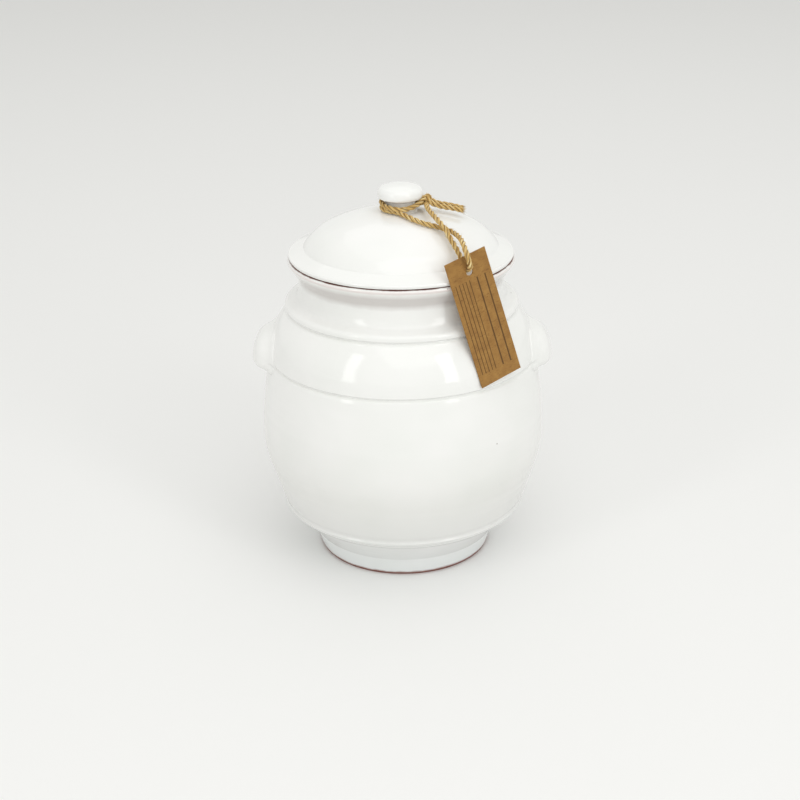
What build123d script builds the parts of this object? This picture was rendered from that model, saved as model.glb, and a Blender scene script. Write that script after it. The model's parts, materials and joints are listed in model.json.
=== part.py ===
"""White-glazed earthenware canister with a loose domed lid.

A thrown jar on a turned foot carries two luted lug handles. The lid has a luted button knob,
and a jute twine tied round the knob's neck carries a kraft card tag. Millimetres, +Z up, with the
origin on the resting surface under the foot's centre. The front is -Y and the handles are at +X and -X.
"""
import os
from math import acos, asin, atan2, cos, degrees, pi, radians, sin, sqrt, tan

from build123d import *

os.makedirs("parts", exist_ok=True)

# Clay
wall = 5.5
lid_wall = 5.0
overrun = 4.0

# Foot: a turned band, a small step and an undercut up to the belly's ridge
foot_radius = 54.9
foot_flare = 0.7
foot_band_height = 8.3
foot_step = 1.3
foot_spread = 3.6
foot_collar_rise = 7.8
foot_edge_round = 0.8
foot_ring_width = 7.5
foot_recess = 4.0
foot_floor = 9.5
floor_radius = 46.0
floor_round = 10.0

# Belly, from the ridge above the foot to the lower crease
ridge_height = 33.5
ridge_round = 1.6
belly_rise = 47.5
belly_radius = 89.7
belly_taper = 17.4
belly_lower_round = 54.0
shoulder_rise = 51.2
shoulder_inset = 5.4

# Creases cut with a turning tool, and the swelling band between them
crease_depth = 1.1
crease_half_width = 1.3
band_rise = 31.2
band_inset = 11.2
band_bulge = 2.6

# Roll above the upper crease, then the neck and the flared lip
roll_rise = 7.8
roll_inset = 3.5
roll_bulge = 1.2
neck_rise = 8.8
neck_inset = 5.2
neck_sweep = 1.4
flare_rise = 8.4
flare_spread = 2.8
flare_sweep = 0.9
lip_rise = 3.2
lip_spread = 3.2
lip_sweep = 0.5
rim_rise = 4.0
rim_inset = 3.9
rim_round = 2.0

# Lug handles
lug_stand_out = 4.8
lug_half_width = 25.0
lug_drop = 4.6
lug_height = 16.5
lug_root_rise = 4.5
lug_tip_taper = 1.5
lug_round = 3.0

# Lid
brim_inset = 0.5
brim_width = 9.6
brim_edge = 2.1
brim_rise = 3.8
brim_bulge = 0.5
brim_lift = 0.5
brim_bevel = 2.3
brim_round = 0.9
dome_shoulder_radius = 32.5
dome_foot_angle = 57.0
dome_crown_angle = 25.5
skirt_clearance = 1.2
skirt_wall = 3.6
skirt_depth = 6.5
skirt_round = 1.2

# Knob
knob_neck_radius = 9.2
knob_neck_height = 6.6
knob_root = 1.2
knob_radius = 13.9
knob_under = 1.3
knob_under_inset = 1.2
knob_under_bulge = 0.4
knob_side = 2.9
knob_shoulder = 3.7
knob_top_radius = 10.4
knob_crown = 1.4

# Twine
twine_diameter = 3.2
twine_gap = 0.35
turn_gap = 0.55
upper_turn_start = 52.0
upper_turn_end = -232.0
upper_turn_corners = 7
lower_turn_start = 128.0
lower_turn_end = 352.0
lower_turn_corners = 6
arc_run_share = 0.45
knot_centre = (16.9, -0.2, 229.5)
knot_ring_radius = 2.1
knot_core_radius = 2.8
knot_core_length = 7.2
knot_core_round = 2.0

# Card tag
tag_width = 30.5
tag_length = 77.7
tag_thickness = 0.6
tag_hole_diameter = 5.0
tag_hole_margin = 9.5
tag_hole_rise = 4.6
tag_gap = 0.3
tag_azimuth = 34.5
tag_turn = 11.0

# Levels and radii that follow from the sizes above
foot_top_radius = foot_radius + foot_flare
foot_collar_radius = foot_top_radius + foot_step
undercut_radius = foot_collar_radius + foot_spread
undercut_height = foot_band_height + foot_step + foot_collar_rise
belly_height = ridge_height + belly_rise
shoulder_height = belly_height + shoulder_rise
shoulder_radius = belly_radius - shoulder_inset
collar_height = shoulder_height + band_rise
collar_radius = shoulder_radius - band_inset
roll_height = collar_height + roll_rise
roll_radius = collar_radius - roll_inset
neck_height = roll_height + neck_rise
neck_radius = roll_radius - neck_inset
flare_height = neck_height + flare_rise
flare_radius = neck_radius + flare_spread
lip_height = flare_height + lip_rise
lip_radius = flare_radius + lip_spread
rim_height = lip_height + rim_rise
rim_radius = lip_radius - rim_inset
mouth_radius = neck_radius - wall
lid_seat = rim_height
taper_turn = radians(belly_taper)
taper_start = (
    belly_radius - belly_lower_round * (1 - cos(taper_turn)),
    belly_height - belly_lower_round * sin(taper_turn),
)
ridge_radius = taper_start[0] - (taper_start[1] - ridge_height) * tan(taper_turn)
inner_taper_start = (taper_start[0] - wall * cos(taper_turn), taper_start[1] + wall * sin(taper_turn))
inner_ridge = (ridge_radius - wall * cos(taper_turn), ridge_height + wall * sin(taper_turn))


def revolved(profile):
    """Turns a profile, drawn in the XZ plane, about the Z axis."""
    with BuildPart() as turned:
        add(profile)
        revolve(axis=Axis.Z)
    return turned.part


def jar_outside():
    """Outer profile of the jar, filled to the axis."""
    with BuildSketch(Plane.XZ) as profile:
        with BuildLine():
            foot = FilletPolyline(
                (0, 0),
                (foot_radius, 0),
                (foot_top_radius, foot_band_height),
                (foot_collar_radius, foot_band_height + foot_step),
                (undercut_radius, undercut_height),
                (ridge_radius, ridge_height),
                taper_start,
                radius=(foot_edge_round, foot_edge_round, foot_edge_round, ridge_round, ridge_round),
            )
            TangentArc(taper_start, (belly_radius, belly_height), tangent=(sin(taper_turn), cos(taper_turn)))
            TangentArc(
                (belly_radius, belly_height),
                (shoulder_radius, shoulder_height - crease_half_width),
                tangent=(0, 1),
            )
            crease(shoulder_radius, shoulder_height)
            SagittaArc(
                (shoulder_radius, shoulder_height + crease_half_width),
                (collar_radius, collar_height - crease_half_width),
                -band_bulge,
            )
            crease(collar_radius, collar_height)
            SagittaArc(
                (collar_radius, collar_height + crease_half_width), (roll_radius, roll_height), -roll_bulge
            )
            SagittaArc((roll_radius, roll_height), (neck_radius, neck_height), neck_sweep)
            SagittaArc((neck_radius, neck_height), (flare_radius, flare_height), flare_sweep)
            SagittaArc((flare_radius, flare_height), (lip_radius, lip_height), -lip_sweep)
            TangentArc((rim_radius, rim_height), (lip_radius, lip_height), tangent=(1, 0))
            Polyline((rim_radius, rim_height), (0, rim_height), foot @ 0)
        make_face()
    return profile.sketch


def crease(radius, height):
    """One V-shaped turned crease in the outer profile."""
    Polyline(
        (radius, height - crease_half_width),
        (radius - crease_depth, height),
        (radius, height + crease_half_width),
    )


def jar_inside():
    """Hollow of the jar: flat floor, belly, shoulder, then the straight mouth."""
    with BuildSketch(Plane.XZ) as profile:
        with BuildLine():
            floor = FilletPolyline(
                (0, foot_floor),
                (floor_radius, foot_floor),
                inner_ridge,
                inner_taper_start,
                radius=(floor_round, floor_round),
            )
            inner_belly = (belly_radius - wall, belly_height)
            inner_shoulder = (shoulder_radius - wall, shoulder_height)
            inner_collar = (collar_radius - wall, collar_height)
            mouth_start = (mouth_radius, rim_height - rim_round)
            mouth_end = (mouth_radius + rim_round, rim_height)
            TangentArc(inner_taper_start, inner_belly, tangent=(sin(taper_turn), cos(taper_turn)))
            TangentArc(inner_belly, inner_shoulder, tangent=(0, 1))
            SagittaArc(inner_shoulder, inner_collar, -band_bulge)
            Polyline(inner_collar, (mouth_radius, neck_height), mouth_start)
            TangentArc(mouth_start, mouth_end, tangent=(0, 1))
            Polyline(
                mouth_end,
                (mouth_radius + rim_round, rim_height + overrun),
                (0, rim_height + overrun),
                floor @ 0,
            )
        make_face()
    return profile.sketch


def foot_hollow():
    """Recess turned out under the foot, which leaves the foot ring."""
    ring_inner = foot_radius - foot_ring_width
    with BuildSketch(Plane.XZ) as profile:
        with BuildLine():
            Polyline(
                (0, -overrun),
                (ring_inner, -overrun),
                (ring_inner, 0),
                (ring_inner - foot_recess, foot_recess),
                (0, foot_recess),
                close=True,
            )
        make_face()
    return profile.sketch


jar_block = revolved(jar_outside())

with BuildPart() as jar_body:
    add(jar_block)
    add(revolved(jar_inside()), mode=Mode.SUBTRACT)
    add(revolved(foot_hollow()), mode=Mode.SUBTRACT)
jar_body.part.label = "jar_body"
export_step(jar_body.part, "parts/jar_body.step")

# Lug handles: a rounded ear in plan, thicker at its root, luted over the lower crease
lug_tip = belly_radius + lug_stand_out
lug_base = shoulder_height - lug_drop
lug_root = shoulder_radius - band_inset


def lug_handle(side):
    """One lug on the side given by +1 or -1."""
    with BuildPart() as lug:
        with BuildSketch(Plane.XY.offset(lug_base)):
            with Locations((side * lug_root, 0)):
                Ellipse(lug_tip - lug_root, lug_half_width)
        extrude(amount=lug_height + lug_root_rise)
        with BuildSketch(Plane.XZ):
            with BuildLine():
                Polyline(
                    (side * lug_root, lug_base),
                    (side * (lug_tip + overrun), lug_base + lug_tip_taper),
                    (side * (lug_tip + overrun), lug_base + lug_height - lug_tip_taper),
                    (side * lug_root, lug_base + lug_height + lug_root_rise),
                    close=True,
                )
            make_face()
        extrude(amount=lug_half_width + overrun, both=True, mode=Mode.INTERSECT)
        rims = lug.edges().filter_by(lambda edge: edge.geom_type != GeomType.LINE)
        fillet(rims.filter_by(lambda edge: abs(edge.center().X) > lug_root), radius=lug_round)
        add(jar_block, mode=Mode.SUBTRACT)
    return lug.part


for name, side in (("left_lug_handle", -1), ("right_lug_handle", 1)):
    lug = lug_handle(side)
    lug.label = name
    export_step(lug, f"parts/{name}.step")

# Lid: seat, skirt inside the mouth, sloping brim and a dome of two tangent arcs
brim_radius = lip_radius - brim_inset
brim_base = lid_seat + brim_lift
brim_top = brim_base + brim_edge
dome_radius = brim_radius - brim_width
dome_base = brim_top + brim_rise
foot_angle = radians(dome_foot_angle)
crown_angle = radians(dome_crown_angle)
shoulder_centre = (
    dome_radius - dome_shoulder_radius * sin(foot_angle),
    dome_base - dome_shoulder_radius * cos(foot_angle),
)
crown_start = (
    shoulder_centre[0] + dome_shoulder_radius * sin(crown_angle),
    shoulder_centre[1] + dome_shoulder_radius * cos(crown_angle),
)
crown_radius = crown_start[0] / sin(crown_angle)
crown_centre = crown_start[1] - crown_radius * cos(crown_angle)
crown_height = crown_centre + crown_radius
skirt_radius = mouth_radius - skirt_clearance
skirt_base = lid_seat - skirt_depth


def crown_at(radius):
    """Height of the lid's crown at a radius."""
    return crown_centre + sqrt(crown_radius**2 - radius**2)


def dome_arcs(inset):
    """The dome's two arcs, set in by a wall: from the brim to the crown's top."""
    shoulder = dome_shoulder_radius - inset
    crown = crown_radius - inset
    shoulder_arc = CenterArc(
        shoulder_centre, shoulder, degrees(asin(cos(foot_angle))), dome_foot_angle - dome_crown_angle
    )
    CenterArc((0, crown_centre), crown, degrees(asin(cos(crown_angle))), dome_crown_angle)
    return shoulder_arc @ 0


with BuildPart() as lid:
    with BuildSketch(Plane.XZ) as lid_profile:
        with BuildLine():
            dome_foot = dome_arcs(0)
            SagittaArc((brim_radius, brim_top), dome_foot, -brim_bulge)
            Polyline(
                (brim_radius, brim_top),
                (brim_radius - brim_lift, brim_base),
                (brim_radius - brim_bevel, lid_seat),
                (0, lid_seat),
                (0, crown_height),
            )
        make_face()
        fillet(lid_profile.vertices().sort_by(Axis.X)[-1], radius=brim_round)
    revolve(axis=Axis.Z)
    with BuildSketch(Plane.XZ):
        with BuildLine():
            skirt_edge = TangentArc(
                (skirt_radius, skirt_base + skirt_round),
                (skirt_radius - skirt_round, skirt_base),
                tangent=(0, -1),
            )
            Polyline(skirt_edge @ 1, (0, skirt_base), (0, lid_seat), (skirt_radius, lid_seat), skirt_edge @ 0)
        make_face()
    revolve(axis=Axis.Z)
    with BuildSketch(Plane.XZ):
        with BuildLine():
            hollow_foot = dome_arcs(lid_wall)
            Polyline(
                hollow_foot,
                (skirt_radius - skirt_wall, lid_seat),
                (skirt_radius - skirt_wall, skirt_base - overrun),
                (0, skirt_base - overrun),
                (0, crown_height - lid_wall),
            )
        make_face()
    revolve(axis=Axis.Z, mode=Mode.SUBTRACT)
lid.part.label = "lid"
export_step(lid.part, "parts/lid.step")

# Knob: its root lies on the crown, then a short neck and a flattened button
knob_root_radius = knob_neck_radius + knob_root
neck_top = crown_height + knob_neck_height
button_under = neck_top + knob_under
button_side = button_under + knob_side
button_top = button_side + knob_shoulder

with BuildPart() as lid_knob:
    with BuildSketch(Plane.XZ):
        with BuildLine():
            RadiusArc((0, crown_height), (knob_root_radius, crown_at(knob_root_radius)), crown_radius)
            TangentArc(
                (knob_neck_radius, crown_height + knob_root),
                (knob_root_radius, crown_at(knob_root_radius)),
                tangent=(0, -1),
            )
            Polyline(
                (knob_neck_radius, crown_height + knob_root),
                (knob_neck_radius, neck_top),
                (knob_radius - knob_under_inset, button_under),
            )
            SagittaArc(
                (knob_radius - knob_under_inset, button_under), (knob_radius, button_side), -knob_under_bulge
            )
            TangentArc((knob_radius, button_side), (knob_top_radius, button_top), tangent=(0, 1))
            TangentArc((0, button_top + knob_crown), (knob_top_radius, button_top), tangent=(1, 0))
            Line((0, button_top + knob_crown), (0, crown_height))
        make_face()
    revolve(axis=Axis.Z)
lid_knob.part.label = "lid_knob"
export_step(lid_knob.part, "parts/lid_knob.step")

# Card tag: its back just clears the brim's edge and the swelling band
tag_off = tag_gap + tag_thickness / 2
band_low = Vector(shoulder_radius, shoulder_height + crease_half_width)
band_high = Vector(collar_radius, collar_height - crease_half_width)
band_chord = band_high - band_low
band_round = band_chord.length**2 / (8 * band_bulge) + band_bulge / 2
band_out = Vector(band_chord.Y, -band_chord.X).normalized()
band_centre = (band_low + band_high) / 2 - band_out * (band_round - band_bulge)
brim_from_band = Vector(brim_radius, brim_top) - band_centre
tag_lean = atan2(brim_from_band.Y, brim_from_band.X) - acos(band_round / brim_from_band.length)
azimuth = radians(tag_azimuth)
outward = Vector(sin(azimuth), -cos(azimuth), 0)
tag_normal = outward * cos(tag_lean) + Vector(0, 0, sin(tag_lean))
tag_up = Vector(0, 0, cos(tag_lean)) - outward * sin(tag_lean)
tag_hole = outward * brim_radius + Vector(0, 0, brim_top) + tag_normal * tag_off + tag_up * tag_hole_rise
tag_right = tag_up.cross(tag_normal) * cos(radians(tag_turn)) + tag_up * sin(radians(tag_turn))
tag_plane = Plane(origin=tag_hole, x_dir=tag_right, z_dir=tag_normal)

with BuildPart() as swing_tag:
    with BuildSketch(tag_plane):
        with Locations((0, tag_hole_margin - tag_length / 2)):
            Rectangle(tag_width, tag_length)
        Circle(tag_hole_diameter / 2, mode=Mode.SUBTRACT)
    extrude(amount=tag_thickness / 2, both=True)
swing_tag.part.label = "swing_tag"
export_step(swing_tag.part, "parts/swing_tag.step")

# Twine: one turn above, one below that runs out to the card as the front leg, and a leg behind the card
twine_radius = twine_diameter / 2
winding_radius = knob_neck_radius + twine_gap + twine_radius
lower_turn_height = crown_at(winding_radius) + twine_gap + twine_radius
upper_turn_height = lower_turn_height + twine_diameter + turn_gap


def turn_points(first, last, count, height):
    """Corner points of a turn round the knob's neck, between two azimuths in degrees."""
    step = (last - first) / (count - 1)
    reach = winding_radius / cos(radians(step / 2))
    angles = [radians(first + step * index) for index in range(count)]
    return [(reach * sin(angle), -reach * cos(angle), height) for angle in angles]


def corner_radii(points):
    """One arc per inner corner, as wide as the shorter run beside it allows."""
    spots = [Vector(*point) for point in points]
    radii = []
    for before, corner, after in zip(spots, spots[1:], spots[2:]):
        arriving, leaving = corner - before, after - corner
        half_turn = radians(arriving.get_angle(leaving)) / 2
        radii.append(arc_run_share * min(arriving.length, leaving.length) / tan(half_turn))
    return radii


def strand(points, name):
    """A length of twine along its route points."""
    radii = corner_radii(points)
    with BuildPart() as tube:
        with BuildLine() as route:
            FilletPolyline(*points, radius=radii)
        path = route.wires()[0]
        with BuildSketch(Plane(origin=path @ 0, z_dir=path % 0)):
            Circle(twine_radius)
        sweep(path=path)
    filled_share = tube.part.volume / (pi * twine_radius**2 * path.length)
    print(name, "length", round(path.length, 1), "volume to section times length", round(filled_share, 4))
    print(name, "arc radii", [round(radius, 1) for radius in radii])
    tube.part.label = name
    export_step(tube.part, f"parts/{name}.step")
    return tube.part


collar_route = (
    [(14.8, -0.4, 230.9)]
    + turn_points(upper_turn_start, upper_turn_end, upper_turn_corners, upper_turn_height)
    + [(15.6, 3.0, 230.9)]
)
front_leg_route = (
    [(15.6, 1.6, 227.0)]
    + turn_points(lower_turn_start, lower_turn_end, lower_turn_corners, lower_turn_height)
    + [
        (3.4, -18.4, 225.0),
        (8.8, -23.0, 223.6),
        (14.6, -25.8, 222.3),
        (20.6, -26.8, 221.0),
        (26.2, -28.4, 219.8),
        (31.0, -33.4, 219.4),
        (34.2, -41.6, 219.0),
        (35.8, -50.0, 218.2),
        (36.8, -56.4, 216.6),
        (38.2, -60.2, 213.0),
        (39.8, -61.4, 208.8),
        (41.8, -60.9, 206.0),
        (41.0, -59.6, 203.5),
        (39.3, -57.2, 202.8),
    ]
)
back_leg_route = [
    (15.6, -3.4, 228.0),
    (16.6, -12.0, 227.8),
    (18.8, -19.2, 226.8),
    (21.6, -26.4, 225.2),
    (24.4, -32.0, 223.4),
    (27.0, -36.4, 221.2),
    (29.4, -40.6, 218.4),
    (32.1, -44.6, 215.2),
    (34.5, -48.4, 211.6),
    (36.0, -51.6, 207.6),
    (36.2, -52.7, 203.7),
    (37.6, -54.8, 202.1),
    (39.3, -57.2, 202.8),
]
front_end_route = [
    (18.6, -1.7, 228.3),
    (22.8, -1.4, 226.3),
    (28.4, -0.5, 225.0),
    (33.4, 0.6, 223.7),
    (38.1, 1.8, 222.2),
]
back_end_route = [
    (18.6, 1.9, 229.0),
    (22.8, 2.2, 227.1),
    (28.4, 3.1, 225.7),
    (33.4, 4.2, 224.4),
    (38.2, 5.4, 222.9),
]

strands = [
    strand(collar_route, "twine_collar"),
    strand(front_leg_route, "twine_front_leg"),
    strand(back_leg_route, "twine_back_leg"),
    strand(front_end_route, "twine_front_end"),
    strand(back_end_route, "twine_back_end"),
]

# Knot: a turn of twine drawn tight round a core, fitted round the strands that leave it
with BuildPart() as twine_knot:
    with Locations(Location(knot_centre, (90, 0, 0))):
        Cylinder(knot_core_radius, knot_core_length)
    fillet(twine_knot.edges().filter_by(GeomType.CIRCLE), radius=knot_core_round)
    with Locations(Location(knot_centre, (90, 0, 0))):
        Torus(knot_ring_radius, twine_radius)
    for tube in strands:
        add(tube, mode=Mode.SUBTRACT)
twine_knot.part.label = "twine_knot"
export_step(twine_knot.part, "parts/twine_knot.step")
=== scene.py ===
import json
import math
import random

import bpy
from mathutils import Matrix, Vector


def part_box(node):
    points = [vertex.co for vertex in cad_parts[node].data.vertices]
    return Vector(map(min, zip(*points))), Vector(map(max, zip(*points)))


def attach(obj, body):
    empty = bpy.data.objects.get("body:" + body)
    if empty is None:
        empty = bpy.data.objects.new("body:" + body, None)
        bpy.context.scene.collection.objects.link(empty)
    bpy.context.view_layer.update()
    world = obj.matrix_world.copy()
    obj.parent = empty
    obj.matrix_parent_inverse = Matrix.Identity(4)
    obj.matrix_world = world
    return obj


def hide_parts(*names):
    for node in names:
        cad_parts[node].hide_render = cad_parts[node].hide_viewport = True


bl_info = {
    "name": "Glazed canister",
    "version": (1, 0, 0),
    "blender": (4, 5, 0),
    "location": "View3D > Sidebar > Canister",
    "description": "Dresses the canister's solids: thrown and glazed clay, jute twine and a kraft card",
    "category": "Object",
}

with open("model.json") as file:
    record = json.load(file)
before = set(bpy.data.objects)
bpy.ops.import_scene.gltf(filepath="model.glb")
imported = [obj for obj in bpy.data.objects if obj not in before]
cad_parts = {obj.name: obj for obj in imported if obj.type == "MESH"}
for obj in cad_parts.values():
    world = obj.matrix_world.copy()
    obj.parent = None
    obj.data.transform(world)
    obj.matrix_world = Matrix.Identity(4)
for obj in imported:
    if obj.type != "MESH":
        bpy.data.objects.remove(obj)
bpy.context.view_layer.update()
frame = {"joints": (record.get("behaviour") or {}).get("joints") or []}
MM = 0.001

# Where the solids are, read from the frame
JAR_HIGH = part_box("jar_body")[1]
LID_LOW, LID_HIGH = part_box("lid")
KNOB_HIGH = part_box("lid_knob")[1]
LUG_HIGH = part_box("right_lug_handle")[1]
RIM = JAR_HIGH.z
BELLY = JAR_HIGH.x
BRIM = LID_HIGH.x
TAG_JOINT = next(joint for joint in frame["joints"] if joint["name"] == "tag_swing")
TAG_HOLE = Vector(TAG_JOINT["pos_m"])
TAG_NORMAL = Vector(TAG_JOINT["axis"]).normalized()


class JarSettings(bpy.types.PropertyGroup):
    """Sizes and finish of the thrown jar, its lugs and the lid."""

    wall: bpy.props.FloatProperty(
        name="Wall", description="Thickness of the thrown wall", default=5.5 * MM, unit="LENGTH"
    )
    lid_wall: bpy.props.FloatProperty(
        name="Lid wall", description="Thickness of the lid's dome", default=5.0 * MM, unit="LENGTH"
    )
    ring_depth: bpy.props.FloatProperty(
        name="Throwing rings",
        description="Depth of the rings that fingers leave",
        default=0.12 * MM,
        unit="LENGTH",
    )
    ring_pitch: bpy.props.FloatProperty(
        name="Ring pitch", description="Usual distance from ring to ring", default=7.0 * MM, unit="LENGTH"
    )
    wobble: bpy.props.FloatProperty(
        name="Wobble", description="How far the turning is out of true", default=0.3 * MM, unit="LENGTH"
    )
    segments: bpy.props.IntProperty(name="Segments", description="Steps of a full turn", default=192, min=32)
    glaze: bpy.props.StringProperty(name="Glaze", description="sRGB hex of the glaze", default="F6F6F4")
    # The clay is drawn darker than bare terracotta, so that at the foot it also paints the contact shadow
    clay: bpy.props.StringProperty(name="Clay", description="sRGB hex of the bare clay", default="7E4A3C")


class TwineSettings(bpy.types.PropertyGroup):
    """Sizes and colour of the jute twine."""

    diameter: bpy.props.FloatProperty(
        name="Diameter", description="Thickness over the plies", default=3.2 * MM, unit="LENGTH"
    )
    lay: bpy.props.FloatProperty(
        name="Lay", description="Length in which a ply goes once round", default=12.5 * MM, unit="LENGTH"
    )
    plies: bpy.props.IntProperty(name="Plies", description="Yarns twisted together", default=3, min=2)
    fibres: bpy.props.IntProperty(
        name="Fibres", description="Loose fibres that stand off", default=620, min=0
    )
    frays: bpy.props.IntProperty(
        name="Frays", description="Fibres that come loose at a cut end", default=70, min=0
    )
    colour: bpy.props.StringProperty(name="Jute", description="sRGB hex of the jute", default="D5B066")


class TagSettings(bpy.types.PropertyGroup):
    """Sizes and colours of the kraft card."""

    width: bpy.props.FloatProperty(
        name="Width", description="Across the card", default=30.5 * MM, unit="LENGTH"
    )
    length: bpy.props.FloatProperty(
        name="Length", description="Along the card", default=77.7 * MM, unit="LENGTH"
    )
    thickness: bpy.props.FloatProperty(
        name="Thickness", description="Of the card", default=0.6 * MM, unit="LENGTH"
    )
    hole: bpy.props.FloatProperty(
        name="Hole", description="Diameter of the punched hole", default=5.0 * MM, unit="LENGTH"
    )
    hole_margin: bpy.props.FloatProperty(
        name="Hole margin", description="Hole centre to the top edge", default=9.5 * MM, unit="LENGTH"
    )
    turn: bpy.props.FloatProperty(
        name="Turn", description="Turn in its own plane", default=math.radians(11), subtype="ANGLE"
    )
    kraft: bpy.props.StringProperty(name="Kraft", description="sRGB hex of the card", default="A87F45")
    ink: bpy.props.StringProperty(name="Ink", description="sRGB hex of the ruled lines", default="4A3420")


class StageSettings(bpy.types.PropertyGroup):
    """Camera, floor and lights."""

    lens: bpy.props.FloatProperty(name="Lens", description="Focal length", default=67.5, unit="CAMERA")
    camera: bpy.props.FloatVectorProperty(
        name="Camera",
        description="Where the camera stands",
        default=(-0.0018, -0.8874, 0.4799),
        unit="LENGTH",
    )
    pitch: bpy.props.FloatProperty(
        name="Pitch", description="Below the horizon", default=math.radians(23.33), subtype="ANGLE"
    )
    roll: bpy.props.FloatProperty(
        name="Roll", description="Turn about the view", default=math.radians(-0.77), subtype="ANGLE"
    )
    floor: bpy.props.StringProperty(name="Floor", description="sRGB hex of the floor", default="F3F3F2")
    bounce: bpy.props.StringProperty(
        name="Bounce", description="sRGB hex of the light that the floor throws back", default="E7E7E6"
    )


def srgb(code):
    """Linear colour of an sRGB hex value."""
    shares = [int(code[at : at + 2], 16) / 255 for at in (0, 2, 4)]
    return (*[c / 12.92 if c <= 0.04045 else ((c + 0.055) / 1.055) ** 2.4 for c in shares], 1.0)


def add_node(tree, kind, inputs=None, stops=(), **settings):
    """Adds a node, sets its properties and its ramp's stops, and sets its inputs or links them to others."""
    node = tree.nodes.new(kind)
    for key, value in settings.items():
        setattr(node, key, value)
    for number, (at, code) in enumerate(stops):
        ramp = node.color_ramp.elements
        stop = ramp[number] if number < len(ramp) else ramp.new(at)
        stop.position, stop.color = at, srgb(code)
    for key, value in (inputs or {}).items():
        if isinstance(value, bpy.types.Node):
            value = next(output for output in value.outputs if output.enabled)
        if isinstance(value, bpy.types.NodeSocket):
            tree.links.new(value, node.inputs[key])
        else:
            node.inputs[key].default_value = value
    return node


def new_material(name):
    """An empty material and its node tree."""
    made = bpy.data.materials.new(name)
    made.use_nodes = True
    made.node_tree.nodes.clear()
    return made, made.node_tree


def add_surface(tree, inputs):
    """Gives a material its surface shader, with what goes into it."""
    shader = add_node(tree, "ShaderNodeBsdfPrincipled", inputs)
    add_node(tree, "ShaderNodeOutputMaterial", {"Surface": shader})


def finish_piece(piece, body, slot, material, *nodes):
    """Gives a piece its material, hangs it on the body that carries it and hides the solids that it stands
    for.
    """
    piece.data.materials.clear()
    piece.data.materials.append(material)
    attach(piece, body)
    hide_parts(*nodes)


# Tin-glazed earthenware: a thick glossy white over red clay. The glaze pulls thin on sharp edges, where the
# clay shows through. Its colour is darkened by height to a grey band low on the belly, which is painted
# shade, and is bluish and paler at the foot, partly pooled glaze and partly painted light. It keeps finger
# rings, a faint orange peel and a few pinholes.
GLOSS = 0.09
GLAZE_CLOUD = 45 * MM
GLAZE_RUN = 100 * MM
# Shades multiplied into the glaze by height: painted shade in a grey band low on the belly, and a bluish,
# paler foot that is partly pooled glaze and partly painted light
GLAZE_HEIGHT_SHADES = (
    (0.0, "FAFDFF"),
    (26 * MM, "FCFDFE"),
    (36 * MM, "F2F2F2"),
    (62 * MM, "F8F8F7"),
    (GLAZE_RUN, "FFFFFF"),
)
PINHOLE_SPACING = 21 * MM
PINHOLE_CORE, PINHOLE_EDGE = 0.294 * MM, 0.504 * MM
NO_PINHOLE_SHARE = 0.6
LINE_WANDER = 8 * MM
LINE_RAGGED, LINE_LEAST_SHARE = 0.9 * MM, 0.4
RING_LONG, RING_HIGH, RING_BUMP = 120 * MM, 4.5 * MM, 0.16 * MM
PEEL, PEEL_BUMP = 11 * MM, 0.25 * MM


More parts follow.
